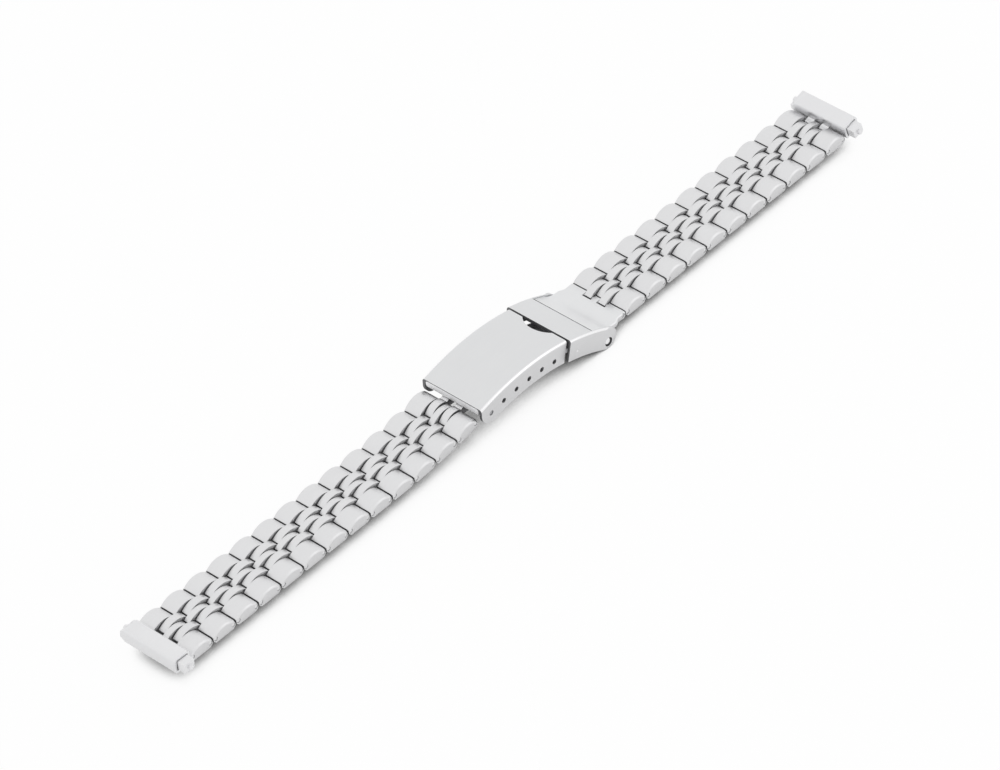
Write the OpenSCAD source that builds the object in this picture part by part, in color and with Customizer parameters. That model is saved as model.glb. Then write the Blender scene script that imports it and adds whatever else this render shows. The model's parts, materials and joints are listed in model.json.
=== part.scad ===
// Slim steel watch bracelet with a fold-over clasp, laid out flat and closed.
// X runs along the bracelet, with the twelve side at +X. Y runs across it. Z is up.
// The part stands on the ears of its safety flap at z = 0.

/* [Links] */
// Distance from one row of links to the next
pitch = 4.5; // [4.2:0.1:5.2]
// Width across a row of links
link_w = 10.2; // [9.6:0.1:12]
// Height of a link at its crown
link_t = 2.0; // [1.8:0.05:2.3]
// Height of a link's upper end edge
link_end_h = 1.15; // [1.1:0.05:1.3]
// Gap between the ends of two rows
row_gap = 0.2; // [0.16:0.01:0.22]
// Width of the centre bead
centre_w = 1.0; // [0.8:0.05:1.3]
// Width of a side bead
bead_w = 1.25; // [1:0.05:1.5]
// Gap between two lanes of a row
lane_gap = 0.2; // [0.14:0.01:0.24]
// Start of a side bead, from the start of its row
bead_start = 1.15; // [1.12:0.01:1.3]
// Size of the cut along a link's lower end edge
end_cut = 0.45; // [0.35:0.01:0.5]
// Rows on the six side
rows_six = 13; // [11:1:15]
// Rows on the twelve side
rows_twelve = 11; // [9:1:13]
// Number of rows of the six side that climb to the clasp
climb_rows = 4; // [3:1:5]
// Tilt of the last of them, in degrees
last_tilt = 10.5; // [8:0.5:12]
// Depth of the twelve side's rows below the six side's first rows
twelve_drop = 0.2; // [0:0.05:0.3]

/* [Link pins] */
// Radius of a link pin
pin_r = 0.3; // [0.26:0.01:0.32]
// Height of the pins above a link's underside
pin_h = 0.75; // [0.72:0.01:0.8]
// Distance of a pin from the middle of the gap between two rows
pin_inset = 0.52; // [0.5:0.01:0.55]
// Depth of a pin's end below the outer link's side
pin_recess = 0.12; // [0.05:0.01:0.3]
// Clearance round a pin that is held
held_clear = 0.02; // [0.012:0.001:0.03]
// Clearance round a pin that turns
turn_clear = 0.03; // [0.02:0.005:0.05]

/* [Clasp shell] */
// Outer radius of the clasp's arch
arch_r = 35.9; // [33:0.1:40]
// Height of the shell's side walls
wall_h = 3.7; // [3.6:0.05:4]
// Height of the clasp's crown above the links' underside
clasp_rise = 5.65; // [5.5:0.05:5.8]
// Thickness of the shell's top
top_t = 0.55; // [0.45:0.01:0.6]
// Thickness of the shell's side walls
wall_t = 0.45; // [0.4:0.01:0.5]
// Clearance between the links' sides and the cover's walls
side_clear = 0.05; // [0.04:0.01:0.1]
// Upper edge of the cover's six end, in degrees from the crown
cover_six_a = -16; // [-16.6:0.1:-15.8]
// Twelve end of the cover, in degrees from the crown
cover_twelve_a = 13.25; // [13.1:0.05:13.4]
// Radius of the cover's lower corners at its six end
cover_corner_r = 2; // [1.3:0.05:2.2]
// Height of the lip under the cover's six end, with the top's thickness
lip_h = 0.9; // [0.7:0.05:1]
// Thickness of the lip
lip_t = 0.5; // [0.35:0.05:0.6]
// Gap between the lip and the side walls
lip_gap = 0.25; // [0.15:0.05:0.5]
// Width of the finger notch
notch_w = 5.6; // [4:0.1:6]
// Depth of the finger notch
notch_d = 1.3; // [0.9:0.05:1.4]

/* [Adjusting holes] */
// Radius of an adjusting hole
hole_r = 0.4; // [0.38:0.01:0.45]
// Distance from one adjusting hole to the next
hole_pitch = 2.7; // [2.5:0.05:2.8]
// Number of adjusting holes
hole_count = 6; // [5:1:6]
// Depth of the first hole below the clasp's top
hole_depth = 2.15; // [2.1:0.05:2.25]
// Depth by which the last hole lies below the first
hole_fall = 0.3; // [0:0.05:0.35]
// First hole, in degrees from the crown
hole_a = -13.6; // [-13.8:0.1:-13.4]

/* [Safety flap] */
// Gap between the cover and the flap
flap_gap = 0.4; // [0.3:0.01:0.5]
// Width by which the flap is wider than the cover, on each side
flap_over = 0.45; // [0.4:0.01:0.5]
// Height of the flap's walls
flap_wall_h = 3.5; // [3.45:0.05:3.7]
// Length of the flap's top
flap_top_len = 5.1; // [4.9:0.1:5.2]
// Middle of the ears' round ends, in degrees from the crown
ear_a = 28.5; // [28.4:0.1:28.8]
// Rivet, in degrees from the crown
rivet_a = 29.15; // [29:0.05:29.3]
// Depth of the rivet below the clasp's top
rivet_depth = 2.3; // [2.2:0.01:2.32]
// Radius of the rivet
rivet_r = 0.65; // [0.55:0.01:0.68]
// Depth of the rivet's ends below the ears' sides
rivet_recess = 0.3; // [0.2:0.01:0.35]
// Clearance between the end plate's sides and the ears
ear_clear = 0.15; // [0.1:0.01:0.2]
// Radius of the dimple in an ear
dimple_r = 0.25; // [0.2:0.01:0.35]
// Depth of the dimple
dimple_d = 0.12; // [0.08:0.01:0.2]

/* [End plate] */
// Distance from the rivet to the twelve side's first row
plate_reach = 4.88; // [4.8:0.02:5.1]
// Thickness of the end plate's curved part
plate_t = 0.8; // [0.7:0.01:0.9]
// Depth of the curved part below the clasp's top
plate_drop = 0.15; // [0.12:0.01:0.2]
// Gap between the flap's top and the end plate
plate_gap = 0.3; // [0.28:0.01:0.4]
// Length of the narrow part at the first row, as wide as the links
plate_narrow = 1.6; // [1.2:0.05:2]
// Length over which the plate widens from there
plate_flare = 2.2; // [1.5:0.1:2.5]
// Clearance round the first side beads' noses
nose_clear = 0.25; // [0.2:0.01:0.3]
// Radius of the knuckles on the rivet
knuckle_r = 1.0; // [0.96:0.01:1.02]

/* [Blades] */
// Thickness of a blade
blade_t = 0.7; // [0.5:0.01:0.75]
// Width of the blades
blade_w = 8.0; // [7.4:0.1:8.6]
// Width of the inner blade's tongues
blade_tongue_w = 4.0; // [3.4:0.1:4.4]
// Width of the inner blade's knuckle on the rivet
rivet_knuckle_w = 6.0; // [5.6:0.1:6.2]
// Side gap between two knuckles
knuckle_gap = 0.12; // [0.1:0.01:0.2]
// Fold hinge, in degrees from the crown
fold_a = -9.5; // [-9.8:0.1:-9.2]
// Radius of the fold hinge's knuckles
fold_r = 0.85; // [0.8:0.01:0.9]
// Cover hinge, in degrees from the crown
cover_hinge_a = 11.3; // [11:0.1:11.5]
// Radius of the cover hinge's knuckle
cover_knuckle_r = 0.75; // [0.7:0.01:0.8]
// Radius of the blades' pins
blade_pin_r = 0.4; // [0.35:0.01:0.42]
// Depth to which the cover hinge's pin enters the cover's walls
blind_depth = 0.25; // [0.2:0.01:0.3]
// Distance that the blades keep from each other's knuckles
blade_clear = 0.25; // [0.2:0.01:0.3]
// Height of the inner blade above the walls' lower edge
blade_lift = 0.1; // [0.05:0.01:0.15]
// Gap between the inner and the outer blade
blade_gap = 0.3; // [0.25:0.01:0.35]

/* [Spring bars] */
// Radius of the clasp spring bar's barrel
barrel_r = 0.6; // [0.55:0.01:0.65]
// Radius of its tips
tip_r = 0.34; // [0.3:0.01:0.35]
// Outer radius of the spring bar link's tube
tube_r = 1.0; // [0.9:0.01:1.05]
// Distance from the spring bar to the last link pin
link_reach = 2.8; // [2.7:0.05:3]
// Side gap between the tube and the cover's walls
tube_gap = 0.25; // [0.15:0.01:0.4]

/* [Telescopic ends] */
// Distance from the last row to the outer face of an end tube
end_len = 2.95; // [2.8:0.05:3.2]
// Gap between the last row and an end tube
end_gap = 0.12; // [0.1:0.01:0.2]
// Height of an end tube's top above the links' underside
end_top = 2.75; // [2.7:0.05:3]
// Height of its underside
end_bottom = 0.3; // [0.2:0.01:0.35]
// Thickness of its sheet
end_sheet = 0.35; // [0.3:0.01:0.4]
// Radius of its upper edges
end_round = 0.45; // [0.4:0.05:0.6]
// Length by which an end tube is wider than the links, on each side
end_over = 0.1; // [0:0.05:0.2]
// Length of an insert that stands out of its tube
insert_out = 1.35; // [1.2:0.05:1.4]
// Length of an insert that stays in its tube
insert_in = 5.0; // [4:0.1:6]
// Width of an insert
insert_w = 1.9; // [1.6:0.05:1.95]
// Height of an insert
insert_h = 1.55; // [1.4:0.05:1.6]
// Radius of a lug tip
lug_r = 0.4; // [0.35:0.01:0.45]
// Length of a lug tip that stands out
lug_len = 0.5; // [0.4:0.05:0.8]
// Size of the square notch at the tube's corner
corner_notch = 0.6; // [0.4:0.05:0.8]
// Length of the slanted cut under the tube's closed end
slant_len = 1.2; // [0.8:0.05:1.4]
// Height of the slanted cut
slant_h = 0.8; // [0.6:0.05:0.8]
// Length over which the tube's top falls to its closed end
fall_len = 1.2; // [0.8:0.05:1.4]
// Depth by which it falls
fall_depth = 0.5; // [0.3:0.05:0.5]
// Upward tilt of the twelve side's end tube as it lies, in degrees
twelve_end_tilt = 15; // [0:1:17]

/* [Hidden] */
function two(n) = n < 10 ? str("0", n) : str(n);
SIX = [for (k = [1 : rows_six]) str("six_", two(k))];
TWELVE = [for (k = [1 : rows_twelve]) str("twelve_", two(k))];

link_steel = "#c9cacb";
clasp_steel = "#bfc1c3";
inner_steel = "#a9abad";
$fn = 48;
big_fn = 240;
eps = 0.01;

// Lanes across a row, as [low, high] on the +Y side
bead_in = centre_w / 2 + lane_gap;
bead_out = bead_in + bead_w;
outer_in = bead_out + lane_gap;
side_y = link_w / 2;
pin_y = side_y - pin_recess;

// A row runs from half a gap after its start to half a gap before its end
row_in = row_gap / 2;
nose_r = pin_inset - row_in;
bead_end = pitch + pin_inset + nose_r;
pin_span = pitch - 2 * pin_inset;

// Levels of the clasp: the arch's middle, and the underside of the links
wall_r = arch_r - wall_h;
ear_r = flap_wall_h / 2;
ear_mid_r = arch_r - ear_r;
arch_z = ear_r - ear_mid_r * cos(ear_a);
strip_z = arch_z + arch_r - clasp_rise;
twelve_z = strip_z - twelve_drop;
cover_y = side_y + side_clear + wall_t;
cover_in_y = cover_y - wall_t;
flap_y = cover_y + flap_over;
flap_in_y = flap_y - wall_t;
plate_y = flap_in_y - ear_clear;

// Hinge lines of the clasp, seen from the middle of its arch
hole_arch_r = arch_r - hole_depth;
rivet_arch_r = arch_r - rivet_depth;
inner_blade_r = wall_r + blade_lift;
outer_blade_r = inner_blade_r + blade_t + blade_gap;
fold_arch_r = (inner_blade_r + outer_blade_r + blade_t) / 2;
cover_hinge_r = outer_blade_r + blade_t;
hole_step_a = hole_pitch / hole_arch_r * 180 / PI;
flap_six_a = cover_twelve_a + arc_deg(flap_gap, arch_r);
flap_twelve_a = flap_six_a + arc_deg(flap_top_len, arch_r);
plate_a = flap_twelve_a + arc_deg(plate_gap, arch_r);

// Climb of the six side: angles of its rows and of its side beads
first_climb = rows_six - climb_rows;
function row_tilt(k) = last_tilt * pow(max(0, k - first_climb) / climb_rows, 2);
function bead_tilt(k) = (row_tilt(k) + row_tilt(k + 1)) / 2;
function total(list, i = 0) = i < len(list) ? list[i] + total(list, i + 1) : 0;
climb = total([for (k = [1 : rows_six]) pin_span * sin(row_tilt(k))])
    + total([for (k = [1 : rows_six - 1]) 2 * pin_inset * sin(bead_tilt(k))]);
six_run = total([for (k = [1 : rows_six]) pin_span * cos(row_tilt(k))])
    + total([for (k = [1 : rows_six - 1]) 2 * pin_inset * cos(bead_tilt(k))]);

// Places along X, first from the middle of the arch, then from the middle of the bracelet
bar_from_arch = hole_arch_r * sin(hole_a);
bar_z = arch_z + hole_arch_r * cos(hole_a);
last_pin_z = strip_z + pin_h + climb;
last_pin_from_arch = bar_from_arch - sqrt(pow(link_reach, 2) - pow(bar_z - last_pin_z, 2));
twelve_from_arch = rivet_arch_r * sin(rivet_a) + plate_reach;
low_end = last_pin_from_arch - six_run - pin_inset - end_len;
high_end = twelve_from_arch + rows_twelve * pitch + end_len;
arch_x = -(low_end + high_end) / 2;
six_x = arch_x + low_end + end_len;
twelve_x = arch_x + twelve_from_arch;

// Hinge lines as [x, z]
function arc_deg(length, r) = length / r * 180 / PI;
function on_arch(r, a) = [arch_x + r * sin(a), arch_z + r * cos(a)];
function heading(a) = [cos(a), sin(a)];
BAR = on_arch(hole_arch_r, hole_a);
RIVET = on_arch(rivet_arch_r, rivet_a);
FOLD = on_arch(fold_arch_r, fold_a);
COVER_HINGE = on_arch(cover_hinge_r, cover_hinge_a);
EAR_END = on_arch(ear_mid_r, ear_a);

// The six side's pins: six_p is at a row's clasp end, six_q at its outer end
function six_p(k) = k == rows_six
    ? [arch_x + last_pin_from_arch, last_pin_z]
    : six_q(k + 1) - 2 * pin_inset * heading(bead_tilt(k));
function six_q(k) = six_p(k) - pin_span * heading(row_tilt(k));

// The twelve side lies level
function twelve_p(k) = [twelve_x + (k - 1) * pitch + pin_inset, twelve_z + pin_h];
function twelve_q(k) = [twelve_x + k * pitch - pin_inset, twelve_z + pin_h];

// Draws a side view, in x and z, from y0 to y1
module across(y0, y1)
    translate([0, y1, 0])
        rotate([90, 0, 0])
            linear_extrude(height = y1 - y0)
                children();

// The same on both sides of the middle
module both(y0, y1) {
    across(y0, y1) children();
    across(-y1, -y0) children();
}

// A rod along Y at the side view's point at
module rod(at, r, y0, y1)
    translate([at[0], y1, at[1]])
        rotate([90, 0, 0])
            cylinder(r = r, h = y1 - y0);

// A strip of the clasp's arch between two radii and two angles from the crown
module band(r0, r1, a0, a1) {
    reach = 1.3 * r1;
    middle = (a0 + a1) / 2;
    translate([arch_x, arch_z])
        intersection() {
            difference() {
                circle(r = r1, $fn = big_fn);
                circle(r = r0, $fn = big_fn);
            }
            polygon([
                [0, 0],
                reach * [sin(a0), cos(a0)],
                reach * [sin(middle), cos(middle)],
                reach * [sin(a1), cos(a1)]
            ]);
        }
}

module disc(at, r)
    translate(at) circle(r = r);

// A straight bar with a half-thickness r from one point to another, round at both ends
module stadium(from, to, r0, r1) {
    way = to - from;
    along = atan2(way[1], way[0]);
    disc(from, r0);
    disc(to, r1);
    translate(from)
        rotate(along)
            polygon([[0, -r0], [norm(way), -r1], [norm(way), r1], [0, r0]]);
}

// Side view of a link from u0 to u1 along its row: crowned top, cut lower ends
module lens(u0, u1) {
    half = (u1 - u0) / 2;
    sagitta = link_t - link_end_h;
    crown_r = (half * half + sagitta * sagitta) / (2 * sagitta);
    intersection() {
        disc([u0 + half, link_t - crown_r], crown_r, $fn = big_fn);
        polygon([
            [u0, end_cut],
            [u0 + end_cut, 0],
            [u1 - end_cut, 0],
            [u1, end_cut],
            [u1, link_t],
            [u0, link_t]
        ]);
    }
}

outer_pin = [pin_inset, pin_h];
clasp_pin = [pitch - pin_inset, pin_h];
next_pin = [pitch + pin_inset, pin_h];

// Outer links, centre bead and the row's two pins, from the row's start at the origin
module row_links() {
    bore_r = pin_r + held_clear;
    difference() {
        union() {
            both(outer_in, side_y) lens(row_in, pitch - row_in);
            across(-centre_w / 2, centre_w / 2) lens(row_in, pitch - row_in);
        }
        rod(outer_pin, bore_r, -side_y - eps, side_y + eps);
        rod(clasp_pin, bore_r, -side_y - eps, side_y + eps);
    }
    rod(outer_pin, pin_r, -pin_y, pin_y);
    rod(clasp_pin, pin_r, -pin_y, pin_y);
}

// The pair of side beads that joins a row to the next one towards the clasp
module row_side_beads() {
    bore_r = pin_r + turn_clear;
    difference() {
        both(bead_in, bead_out) lens(bead_start, bead_end);
        rod(clasp_pin, bore_r, -side_y, side_y);
        rod(next_pin, bore_r, -side_y, side_y);
    }
}

// Puts a row's piece in place, by its pin at the clasp end and its tilt
module at_six(k, tilt)
    translate([six_p(k)[0], 0, six_p(k)[1]])
        rotate([0, -tilt, 0])
            translate([-clasp_pin[0], 0, -clasp_pin[1]])
                children();

module at_twelve(k)
    translate([twelve_x + k * pitch, 0, twelve_z])
        mirror([1, 0, 0])
            children();

module six_links(k)
    color(link_steel) at_six(k, row_tilt(k)) row_links();

module six_side_beads(k)
    color(link_steel) at_six(k, bead_tilt(k)) row_side_beads();

module twelve_links(k)
    color(link_steel) at_twelve(k) row_links();

module twelve_side_beads(k)
    color(link_steel) at_twelve(k) row_side_beads();

// Arched shell with two side walls, adjusting holes and the finger notch
module clasp_cover()
    color(clasp_steel)
        difference() {
            union() {
                across(-cover_y, cover_y) cover_strip(arch_r - top_t);
                both(cover_in_y, cover_y) cover_wall();
                across(-cover_in_y + lip_gap, cover_in_y - lip_gap) cover_lip();
            }
            for (i = [0 : hole_count - 1])
                rod(on_arch(hole_arch_r - hole_fall * i / (hole_count - 1), hole_a + i * hole_step_a),
                    hole_r, -cover_y - eps, cover_y + eps);
            for (side = [-1, 1])
                rod(COVER_HINGE, blade_pin_r + turn_clear,
                    min(side * (cover_in_y - eps), side * (cover_in_y + blind_depth + turn_clear)),
                    max(side * (cover_in_y - eps), side * (cover_in_y + blind_depth + turn_clear)));
            finger_notch();
        }

// Strip of the cover down to the radius r0, cut upright at its six end
COVER_END = on_arch(arch_r, cover_six_a);

module cover_strip(r0)
    intersection() {
        band(r0, arch_r, cover_six_a - wall_h, cover_twelve_a);
        translate([COVER_END[0], 0])
            square([2 * arch_r, COVER_END[1] + wall_h]);
    }

// Side wall of the cover, with a round lower corner at its six end
module cover_wall() {
    corner_x = COVER_END[0] + cover_corner_r;
    corner_dist = wall_r + cover_corner_r;
    corner = [corner_x, arch_z + sqrt(pow(corner_dist, 2) - pow(corner_x - arch_x, 2))];
    corner_a = asin((corner_x - arch_x) / corner_dist);
    foot = on_arch(wall_r - cover_corner_r, corner_a);
    difference() {
        cover_strip(wall_r);
        difference() {
            polygon([
                [COVER_END[0] - cover_corner_r, corner[1]],
                corner,
                foot,
                [COVER_END[0] - cover_corner_r, foot[1]]
            ]);
            disc(corner, cover_corner_r);
        }
    }
}

// Lip that is turned down under the top's six end
module cover_lip()
    intersection() {
        band(wall_r, arch_r, cover_six_a - wall_h, 0);
        translate([COVER_END[0], COVER_END[1] - lip_h])
            square([lip_t, 2 * lip_h]);
    }

// Shallow arc out of the top's twelve end
module finger_notch() {
    notch_r = (pow(notch_w / 2, 2) + notch_d * notch_d) / (2 * notch_d);
    translate([arch_x, 0, arch_z])
        rotate([0, cover_twelve_a, 0])
            translate([notch_r - notch_d, 0, arch_r - 2 * top_t])
                cylinder(r = notch_r, h = 3 * top_t, $fn = 96);
}

// Barrel in the spring bar link, with its tips in the cover's first holes
module clasp_spring_bar()
    color(inner_steel) {
        shoulder = cover_in_y - 2 * tube_gap;
        rod(BAR, barrel_r, -shoulder, shoulder);
        rod(BAR, tip_r, -cover_y + pin_recess, cover_y - pin_recess);
    }

// Tube on the spring bar, and the last side beads of the six side in one piece with it
module spring_bar_link()
    color(link_steel)
        difference() {
            union() {
                across(-cover_in_y + tube_gap, cover_in_y - tube_gap) disc(BAR, tube_r);
                both(bead_in, bead_out) stadium(BAR, six_p(rows_six), tube_r, nose_r);
                at_six(rows_six, row_tilt(rows_six))
                    both(bead_in, bead_out) lens(bead_start, pitch + row_in);
            }
            rod(BAR, barrel_r + turn_clear + held_clear, -cover_y, cover_y);
            rod(six_p(rows_six), pin_r + turn_clear, -side_y, side_y);
        }

// Blade between the cover and the inner blade
module outer_blade() {
    half = blade_w / 2;
    free = blade_tongue_w / 2 + knuckle_gap;
    keep_a = arc_deg(fold_r + blade_clear, fold_arch_r);
    color(inner_steel)
        difference() {
            union() {
                across(-half, half) band(outer_blade_r, outer_blade_r + blade_t, fold_a, cover_hinge_a);
                across(-half, half) disc(COVER_HINGE, cover_knuckle_r);
                both(free, half) disc(FOLD, fold_r);
            }
            across(-free, free) disc(FOLD, fold_r + blade_clear);
            rod(FOLD, blade_pin_r + held_clear, -half - eps, half + eps);
            rod(COVER_HINGE, blade_pin_r + held_clear, -half - eps, half + eps);
        }
}

module blade_pins()
    color(inner_steel) {
        rod(FOLD, blade_pin_r, -blade_w / 2, blade_w / 2);
        rod(COVER_HINGE, blade_pin_r, -cover_in_y - blind_depth, cover_in_y + blind_depth);
    }

// Lowest blade, from the fold hinge to the rivet
module inner_blade() {
    half = blade_w / 2;
    tongue = blade_tongue_w / 2;
    rivet_half = rivet_knuckle_w / 2;
    knuckle_a = arc_deg(knuckle_r + 4 * blade_clear, rivet_arch_r) * 2;
    fold_keep_a = arc_deg(fold_r + blade_clear, fold_arch_r);
    tail_a = rivet_a - arc_deg(knuckle_r / 2, rivet_arch_r);
    color(inner_steel)
        difference() {
            union() {
                across(-half, half)
                    band(inner_blade_r, inner_blade_r + blade_t, fold_a + fold_keep_a, rivet_a - knuckle_a);
                across(-tongue, tongue) {
                    band(inner_blade_r, inner_blade_r + blade_t, fold_a, fold_a + 2 * fold_keep_a);
                    disc(FOLD, fold_r);
                }
                across(-rivet_half, rivet_half) {
                    band(inner_blade_r, inner_blade_r + blade_t, rivet_a - 1.5 * knuckle_a, tail_a);
                    disc(RIVET, knuckle_r - held_clear);
                }
            }
            rod(FOLD, blade_pin_r + turn_clear, -half - eps, half + eps);
            rod(RIVET, rivet_r + held_clear, -half - eps, half + eps);
        }
}

module flap_rivet()
    color(inner_steel) rod(RIVET, rivet_r, -flap_y + rivet_recess, flap_y - rivet_recess);

// Flap that closes over the end plate, with an ear on each side
module safety_flap()
    color(clasp_steel)
        difference() {
            union() {
                across(-flap_y, flap_y) band(arch_r - top_t, arch_r, flap_six_a, flap_twelve_a);
                both(flap_in_y, flap_y) {
                    band(arch_r - flap_wall_h, arch_r, flap_six_a, ear_a);
                    disc(EAR_END, ear_r);
                }
            }
            rod(RIVET, rivet_r + turn_clear, -flap_y - eps, flap_y + eps);
            dimple_at = on_arch(hole_arch_r, flap_six_a + arc_deg(1.9, arch_r));
            rod(dimple_at, dimple_r, flap_y - dimple_d, flap_y + eps);
            rod(dimple_at, dimple_r, -flap_y - eps, -flap_y + dimple_d);
        }

// Side view of the end plate: it follows the clasp's arch, then runs level to the first row
module plate_outline() {
    top_r = arch_r - plate_drop;
    top = twelve_z + link_end_h;
    end_x = twelve_x - row_in;
    bend_a = acos((top - arch_z) / top_r);
    foot_a = acos((twelve_z - arch_z) / (top_r - plate_t));
    band(top_r - plate_t, top_r, plate_a, (bend_a + foot_a) / 2);
    polygon([
        on_arch(top_r, bend_a),
        [end_x, top],
        [end_x, twelve_z + end_cut],
        [end_x - end_cut, twelve_z],
        on_arch(top_r - plate_t, foot_a),
        on_arch(top_r - plate_t, bend_a)
    ]);
}

// Plan view of the end plate: narrow at the first row, wider between the ears
module plate_plan() {
    end_x = twelve_x - row_in;
    narrow_x = end_x - plate_narrow;
    wide_x = narrow_x - plate_flare;
    head_x = on_arch(wall_r, plate_a)[0];
    polygon([
        [head_x, -plate_y],
        [wide_x, -plate_y],
        [narrow_x, -side_y],
        [end_x, -side_y],
        [end_x, side_y],
        [narrow_x, side_y],
        [wide_x, plate_y],
        [head_x, plate_y]
    ]);
}

// Plate between the rivet and the twelve side's first side beads
module end_plate() {
    first_pin = [twelve_x - pin_inset, twelve_z + pin_h];
    knuckle_in = rivet_knuckle_w / 2 + knuckle_gap;
    web_r = arch_r - plate_drop - plate_t / 2;
    web_low = RIVET[0] - arch_x - knuckle_r;
    web_high = RIVET[0] - arch_x + knuckle_r;
    color(clasp_steel)
        difference() {
            union() {
                intersection() {
                    across(-plate_y - eps, plate_y + eps) plate_outline();
                    linear_extrude(height = clasp_rise + wall_h) plate_plan();
                }
                both(knuckle_in, side_y) {
                    disc(RIVET, knuckle_r);
                    polygon([
                        [arch_x + web_low, arch_z + sqrt(web_r * web_r - web_low * web_low)],
                        [arch_x + web_high, arch_z + sqrt(web_r * web_r - web_high * web_high)],
                        RIVET + [knuckle_r, 0],
                        RIVET - [knuckle_r, 0]
                    ]);
                }
            }
            both(bead_in - lane_gap, bead_out + lane_gap)
                polygon([
                    first_pin + [-nose_r - nose_clear, -link_t],
                    first_pin + [-nose_r - nose_clear, link_t],
                    first_pin + [link_t, link_t],
                    first_pin + [link_t, -link_t]
                ]);
            rod(RIVET, rivet_r + turn_clear, -side_y - eps, side_y + eps);
            rod(first_pin, pin_r + held_clear, -side_y - eps, side_y + eps);
        }
    color(link_steel) rod(first_pin, pin_r, -pin_y, pin_y);
}

// Side view of an end tube, from the last row's end, with u away from the row
module tube_outline(inset) {
    low = [end_gap + inset, end_bottom + inset];
    high = [end_len - inset, end_top - inset];
    top_r = max(end_round - inset, 0.1);
    foot_r = max(end_sheet - inset, 0.1);
    polygon([
        [low[0], low[1] + foot_r],
        [low[0] + foot_r, low[1]],
        [high[0] - foot_r, low[1]],
        [high[0], low[1] + foot_r],
        [high[0], high[1] - top_r],
        [high[0] - top_r, high[1]],
        [low[0] + top_r, high[1]],
        [low[0], high[1] - top_r]
    ]);
    disc([low[0] + foot_r, low[1] + foot_r], foot_r);
    disc([high[0] - foot_r, low[1] + foot_r], foot_r);
    disc([low[0] + top_r, high[1] - top_r], top_r);
    disc([high[0] - top_r, high[1] - top_r], top_r);
}

tube_y = side_y + end_over;
bar_at = [(end_gap + end_len) / 2, (end_bottom + end_top) / 2];

// Folded tube with two tongues on the last row's pin and a lug tip at its closed end
module end_tube() {
    last_pin = [-pin_inset, pin_h];
    color(clasp_steel) {
        difference() {
            across(-tube_y, tube_y) tube_outline(0);
            across(-tube_y - eps, tube_y - end_sheet - slant_len) tube_outline(end_sheet);
            translate([end_gap - eps, tube_y - corner_notch, end_top - corner_notch])
                cube([corner_notch, corner_notch + eps, corner_notch + eps]);
            slanted_cut(end_bottom, slant_len, slant_h);
            slanted_cut(end_top, fall_len, -fall_depth);
        }
        difference() {
            both(bead_in, bead_out) {
                disc(last_pin, nose_r);
                polygon([
                    last_pin + [0, -nose_r],
                    [end_gap + end_sheet / 2, pin_h - nose_r],
                    [end_gap + end_sheet / 2, pin_h + nose_r],
                    last_pin + [0, nose_r]
                ]);
            }
            rod(last_pin, pin_r + turn_clear, -side_y, side_y);
        }
        rod(bar_at, lug_r, tube_y - end_sheet, tube_y + lug_len);
    }
}

// Wedge that is cut from the tube's closed end, at the level of its top or its underside
module slanted_cut(level, length, height)
    translate([0, tube_y, level])
        rotate([90, 0, 90])
            linear_extrude(height = end_len + eps)
                polygon([
                    [-length - length / abs(height) * eps, -sign(height) * eps],
                    [length, -sign(height) * eps],
                    [length, 2 * height]
                ]);

// Square insert that slides in the tube and carries the other lug tip
module end_insert()
    color(clasp_steel) {
        translate([bar_at[0] - insert_w / 2, -tube_y - insert_out, bar_at[1] - insert_h / 2])
            cube([insert_w, insert_out + insert_in, insert_h]);
        rod(bar_at, lug_r, -tube_y - insert_out - lug_len, -tube_y - insert_out + eps);
    }

module at_six_end()
    translate([six_x, 0, strip_z])
        mirror([1, 0, 0])
            children();

module at_twelve_end()
    translate([twelve_q(rows_twelve)[0], 0, twelve_q(rows_twelve)[1]])
        rotate([0, -twelve_end_tilt, 0])
            translate([pin_inset, 0, -pin_h])
                children();

module six_end_tube() at_six_end() end_tube();
module six_end_insert() at_six_end() end_insert();
module twelve_end_tube() at_twelve_end() end_tube();
module twelve_end_insert() at_twelve_end() end_insert();

for (k = [1 : rows_six])
    six_links(k);
for (k = [1 : rows_six - 1])
    six_side_beads(k);
for (k = [1 : rows_twelve])
    twelve_links(k);
for (k = [1 : rows_twelve])
    twelve_side_beads(k);
clasp_cover();
clasp_spring_bar();
spring_bar_link();
outer_blade();
blade_pins();
inner_blade();
flap_rivet();
safety_flap();
end_plate();
six_end_tube();
six_end_insert();
twelve_end_tube();
twelve_end_insert();
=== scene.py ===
import json
import math

import bmesh
import bpy
from mathutils import Matrix, Vector

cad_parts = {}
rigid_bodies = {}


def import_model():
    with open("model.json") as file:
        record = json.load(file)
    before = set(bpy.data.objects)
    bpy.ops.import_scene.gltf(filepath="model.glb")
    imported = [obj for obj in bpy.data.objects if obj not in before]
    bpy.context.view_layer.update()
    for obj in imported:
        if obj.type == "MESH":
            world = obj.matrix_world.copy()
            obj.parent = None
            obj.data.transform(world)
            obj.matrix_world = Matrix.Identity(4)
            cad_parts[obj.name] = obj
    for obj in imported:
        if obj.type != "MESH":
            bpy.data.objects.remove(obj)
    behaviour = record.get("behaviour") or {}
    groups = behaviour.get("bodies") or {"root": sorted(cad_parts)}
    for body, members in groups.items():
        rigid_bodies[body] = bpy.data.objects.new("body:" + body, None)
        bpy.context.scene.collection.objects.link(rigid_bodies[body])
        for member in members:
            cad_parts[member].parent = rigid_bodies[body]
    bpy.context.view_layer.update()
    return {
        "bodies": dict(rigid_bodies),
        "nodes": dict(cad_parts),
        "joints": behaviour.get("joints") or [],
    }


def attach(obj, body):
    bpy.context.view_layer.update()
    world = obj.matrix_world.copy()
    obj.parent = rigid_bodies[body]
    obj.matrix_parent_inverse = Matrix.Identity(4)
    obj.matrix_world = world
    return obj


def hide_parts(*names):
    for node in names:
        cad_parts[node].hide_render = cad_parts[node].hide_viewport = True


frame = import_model()
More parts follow.
